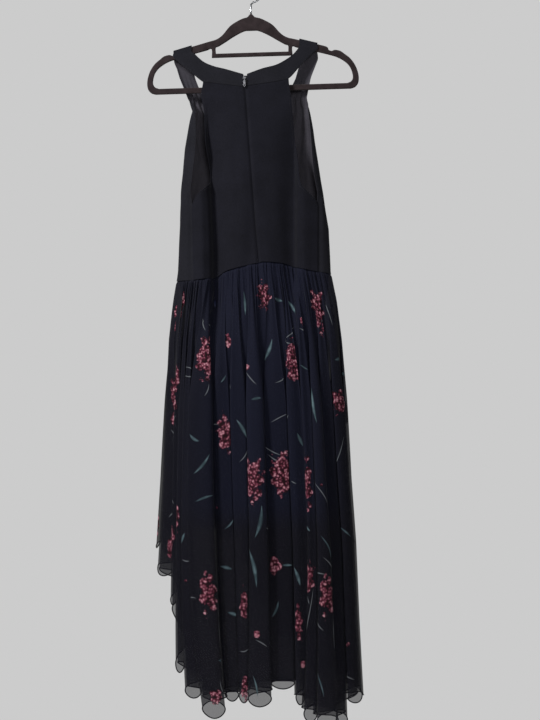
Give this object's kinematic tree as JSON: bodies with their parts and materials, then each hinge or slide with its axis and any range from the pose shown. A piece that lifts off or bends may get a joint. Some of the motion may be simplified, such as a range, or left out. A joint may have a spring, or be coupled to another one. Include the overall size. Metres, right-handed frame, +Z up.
{
  "type": "sleeveless dress on a hanger",
  "caption": "Sleeveless halter dress with a fitted crepe bodice, a back zip and a long gathered sheer skirt with an uneven hem, hung on a slim flocked hanger.",
  "frame": {"origin": "inside the top of the hanger's hook, where the rail touches it", "axes": "+Z up, -Y towards the zip at the back of the dress, +X to the right of someone who faces the zip"},
  "size_m": [0.4545, 0.1942, 1.5485],
  "materials": {
    "crepe": "matt black crepe",
    "chiffon": "sheer black chiffon with a red and teal flower print",
    "lining": "dull navy slip lining",
    "zip_tape": "woven tape with closed coil",
    "flock": "black flocking",
    "hook_metal": "polished wire",
    "zip_metal": "grey plated metal"
  },
  "bodies": {
    "dress": {"hanger": "flock", "hanger_bar": "flock", "hanger_end_left": "flock", "hanger_end_right": "flock", "hanger_hook": "hook_metal", "neckband_left": "crepe", "neckband_right": "crepe", "bodice_back_left": "crepe", "bodice_back_right": "crepe", "bodice_front_left": "crepe", "bodice_front_right": "crepe", "skirt_back": "chiffon", "skirt_front": "chiffon", "lining_back": "lining", "lining_front": "lining", "zip_chain": "zip_tape", "zip_slider": "zip_metal"},
    "pull": {"zip_pull": "zip_metal"}
  },
  "joints": [
    {"name": "pull_swing", "type": "hinge", "parent": "dress", "child": "pull", "pos_m": [-0.0134, -0.01896, -0.209], "axis": [-1, 0, 0], "range_deg": [0, 150]}
  ]
}
